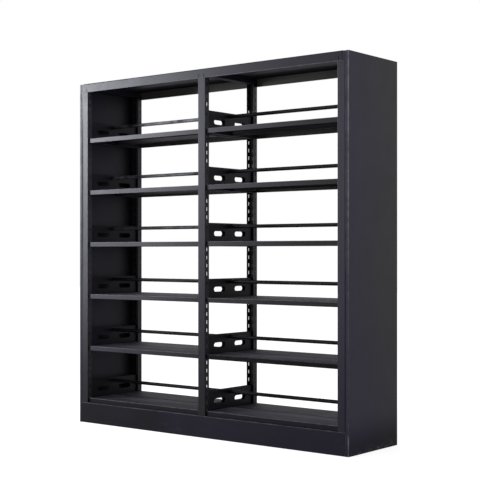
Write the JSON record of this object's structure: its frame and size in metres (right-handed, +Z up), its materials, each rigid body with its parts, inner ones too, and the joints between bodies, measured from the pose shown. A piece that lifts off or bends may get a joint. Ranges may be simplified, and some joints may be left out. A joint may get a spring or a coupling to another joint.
{
  "type": "double sided library shelving",
  "caption": "Free-standing double sided steel library shelving with slotted uprights, hook-on brackets, paired lift-off boards, book-stop rods, end panels, top board and kick plates.",
  "frame": {"origin": "on the floor, under the middle of the unit", "axes": "+Z up, +X along the row to the right, +Y to the rear; front and rear faces look along -Y and +Y"},
  "size_m": [1.9, 0.464, 2],
  "materials": {
    "upright_steel": "dark grey powder coat, satin",
    "cover_steel": "dark grey powder coat, satin",
    "board_steel": "dark grey powder coat, satin",
    "bracket_steel": "dark grey powder coat, satin",
    "rod_steel": "dark grey powder coat, satin",
    "bolt_steel": "zinc plated"
  },
  "bodies": {
    "root": {"post_front_left": "upright_steel", "post_rear_left": "upright_steel", "post_front_center": "upright_steel", "post_rear_center": "upright_steel", "post_front_right": "upright_steel", "post_rear_right": "upright_steel", "upright_rails": "upright_steel", "end_panel_left": "cover_steel", "end_panel_right": "cover_steel", "top_board": "cover_steel", "kick_plates": "cover_steel", "panel_bolts": "bolt_steel"},
    "hanger_left_1": {"brackets_left_1": "bracket_steel", "rod_left_1": "rod_steel"},
    "shelf_front_left_1": {"board_front_left_1": "board_steel"},
    "shelf_rear_left_1": {"board_rear_left_1": "board_steel"},
    "hanger_left_2": {"brackets_left_2": "bracket_steel", "rod_left_2": "rod_steel"},
    "shelf_front_left_2": {"board_front_left_2": "board_steel"},
    "shelf_rear_left_2": {"board_rear_left_2": "board_steel"},
    "hanger_left_3": {"brackets_left_3": "bracket_steel", "rod_left_3": "rod_steel"},
    "shelf_front_left_3": {"board_front_left_3": "board_steel"},
    "shelf_rear_left_3": {"board_rear_left_3": "board_steel"},
    "hanger_left_4": {"brackets_left_4": "bracket_steel", "rod_left_4": "rod_steel"},
    "shelf_front_left_4": {"board_front_left_4": "board_steel"},
    "shelf_rear_left_4": {"board_rear_left_4": "board_steel"},
    "hanger_left_5": {"brackets_left_5": "bracket_steel", "rod_left_5": "rod_steel"},
    "shelf_front_left_5": {"board_front_left_5": "board_steel"},
    "shelf_rear_left_5": {"board_rear_left_5": "board_steel"},
    "hanger_left_6": {"brackets_left_6": "bracket_steel", "rod_left_6": "rod_steel"},
    "shelf_front_left_6": {"board_front_left_6": "board_steel"},
    "shelf_rear_left_6": {"board_rear_left_6": "board_steel"},
    "hanger_right_1": {"brackets_right_1": "bracket_steel", "rod_right_1": "rod_steel"},
    "shelf_front_right_1": {"board_front_right_1": "board_steel"},
    "shelf_rear_right_1": {"board_rear_right_1": "board_steel"},
    "hanger_right_2": {"brackets_right_2": "bracket_steel", "rod_right_2": "rod_steel"},
    "shelf_front_right_2": {"board_front_right_2": "board_steel"},
    "shelf_rear_right_2": {"board_rear_right_2": "board_steel"},
    "hanger_right_3": {"brackets_right_3": "bracket_steel", "rod_right_3": "rod_steel"},
    "shelf_front_right_3": {"board_front_right_3": "board_steel"},
    "shelf_rear_right_3": {"board_rear_right_3": "board_steel"},
    "hanger_right_4": {"brackets_right_4": "bracket_steel", "rod_right_4": "rod_steel"},
    "shelf_front_right_4": {"board_front_right_4": "board_steel"},
    "shelf_rear_right_4": {"board_rear_right_4": "board_steel"},
    "hanger_right_5": {"brackets_right_5": "bracket_steel", "rod_right_5": "rod_steel"},
    "shelf_front_right_5": {"board_front_right_5": "board_steel"},
    "shelf_rear_right_5": {"board_rear_right_5": "board_steel"},
    "hanger_right_6": {"brackets_right_6": "bracket_steel", "rod_right_6": "rod_steel"},
    "shelf_front_right_6": {"board_front_right_6": "board_steel"},
    "shelf_rear_right_6": {"board_rear_right_6": "board_steel"}
  },
  "joints": [
    {"name": "unhook_left_1", "type": "slide", "parent": "root", "child": "hanger_left_1", "axis": [0, 0, 1], "range_m": [0, 0.0135]},
    {"name": "lift_front_left_1", "type": "slide", "parent": "hanger_left_1", "child": "shelf_front_left_1", "axis": [0, 0, 1], "range_m": [0, 0.072]},
    {"name": "lift_rear_left_1", "type": "slide", "parent": "hanger_left_1", "child": "shelf_rear_left_1", "axis": [0, 0, 1], "range_m": [0, 0.072]},
    {"name": "unhook_left_2", "type": "slide", "parent": "root", "child": "hanger_left_2", "axis": [0, 0, 1], "range_m": [0, 0.0135]},
    {"name": "lift_front_left_2", "type": "slide", "parent": "hanger_left_2", "child": "shelf_front_left_2", "axis": [0, 0, 1], "range_m": [0, 0.072]},
    {"name": "lift_rear_left_2", "type": "slide", "parent": "hanger_left_2", "child": "shelf_rear_left_2", "axis": [0, 0, 1], "range_m": [0, 0.072]},
    {"name": "unhook_left_3", "type": "slide", "parent": "root", "child": "hanger_left_3", "axis": [0, 0, 1], "range_m": [0, 0.0135]},
    {"name": "lift_front_left_3", "type": "slide", "parent": "hanger_left_3", "child": "shelf_front_left_3", "axis": [0, 0, 1], "range_m": [0, 0.072]},
    {"name": "lift_rear_left_3", "type": "slide", "parent": "hanger_left_3", "child": "shelf_rear_left_3", "axis": [0, 0, 1], "range_m": [0, 0.072]},
    {"name": "unhook_left_4", "type": "slide", "parent": "root", "child": "hanger_left_4", "axis": [0, 0, 1], "range_m": [0, 0.0135]},
    {"name": "lift_front_left_4", "type": "slide", "parent": "hanger_left_4", "child": "shelf_front_left_4", "axis": [0, 0, 1], "range_m": [0, 0.072]},
    {"name": "lift_rear_left_4", "type": "slide", "parent": "hanger_left_4", "child": "shelf_rear_left_4", "axis": [0, 0, 1], "range_m": [0, 0.072]},
    {"name": "unhook_left_5", "type": "slide", "parent": "root", "child": "hanger_left_5", "axis": [0, 0, 1], "range_m": [0, 0.0135]},
    {"name": "lift_front_left_5", "type": "slide", "parent": "hanger_left_5", "child": "shelf_front_left_5", "axis": [0, 0, 1], "range_m": [0, 0.072]},
    {"name": "lift_rear_left_5", "type": "slide", "parent": "hanger_left_5", "child": "shelf_rear_left_5", "axis": [0, 0, 1], "range_m": [0, 0.072]},
    {"name": "unhook_left_6", "type": "slide", "parent": "root", "child": "hanger_left_6", "axis": [0, 0, 1], "range_m": [0, 0.0135]},
    {"name": "lift_front_left_6", "type": "slide", "parent": "hanger_left_6", "child": "shelf_front_left_6", "axis": [0, 0, 1], "range_m": [0, 0.072]},
    {"name": "lift_rear_left_6", "type": "slide", "parent": "hanger_left_6", "child": "shelf_rear_left_6", "axis": [0, 0, 1], "range_m": [0, 0.072]},
    {"name": "unhook_right_1", "type": "slide", "parent": "root", "child": "hanger_right_1", "axis": [0, 0, 1], "range_m": [0, 0.0135]},
    {"name": "lift_front_right_1", "type": "slide", "parent": "hanger_right_1", "child": "shelf_front_right_1", "axis": [0, 0, 1], "range_m": [0, 0.072]},
    {"name": "lift_rear_right_1", "type": "slide", "parent": "hanger_right_1", "child": "shelf_rear_right_1", "axis": [0, 0, 1], "range_m": [0, 0.072]},
    {"name": "unhook_right_2", "type": "slide", "parent": "root", "child": "hanger_right_2", "axis": [0, 0, 1], "range_m": [0, 0.0135]},
    {"name": "lift_front_right_2", "type": "slide", "parent": "hanger_right_2", "child": "shelf_front_right_2", "axis": [0, 0, 1], "range_m": [0, 0.072]},
    {"name": "lift_rear_right_2", "type": "slide", "parent": "hanger_right_2", "child": "shelf_rear_right_2", "axis": [0, 0, 1], "range_m": [0, 0.072]},
    {"name": "unhook_right_3", "type": "slide", "parent": "root", "child": "hanger_right_3", "axis": [0, 0, 1], "range_m": [0, 0.0135]},
    {"name": "lift_front_right_3", "type": "slide", "parent": "hanger_right_3", "child": "shelf_front_right_3", "axis": [0, 0, 1], "range_m": [0, 0.072]},
    {"name": "lift_rear_right_3", "type": "slide", "parent": "hanger_right_3", "child": "shelf_rear_right_3", "axis": [0, 0, 1], "range_m": [0, 0.072]},
    {"name": "unhook_right_4", "type": "slide", "parent": "root", "child": "hanger_right_4", "axis": [0, 0, 1], "range_m": [0, 0.0135]},
    {"name": "lift_front_right_4", "type": "slide", "parent": "hanger_right_4", "child": "shelf_front_right_4", "axis": [0, 0, 1], "range_m": [0, 0.072]},
    {"name": "lift_rear_right_4", "type": "slide", "parent": "hanger_right_4", "child": "shelf_rear_right_4", "axis": [0, 0, 1], "range_m": [0, 0.072]},
    {"name": "unhook_right_5", "type": "slide", "parent": "root", "child": "hanger_right_5", "axis": [0, 0, 1], "range_m": [0, 0.0135]},
    {"name": "lift_front_right_5", "type": "slide", "parent": "hanger_right_5", "child": "shelf_front_right_5", "axis": [0, 0, 1], "range_m": [0, 0.072]},
    {"name": "lift_rear_right_5", "type": "slide", "parent": "hanger_right_5", "child": "shelf_rear_right_5", "axis": [0, 0, 1], "range_m": [0, 0.072]},
    {"name": "unhook_right_6", "type": "slide", "parent": "root", "child": "hanger_right_6", "axis": [0, 0, 1], "range_m": [0, 0.0135]},
    {"name": "lift_front_right_6", "type": "slide", "parent": "hanger_right_6", "child": "shelf_front_right_6", "axis": [0, 0, 1], "range_m": [0, 0.072]},
    {"name": "lift_rear_right_6", "type": "slide", "parent": "hanger_right_6", "child": "shelf_rear_right_6", "axis": [0, 0, 1], "range_m": [0, 0.072]}
  ]
}
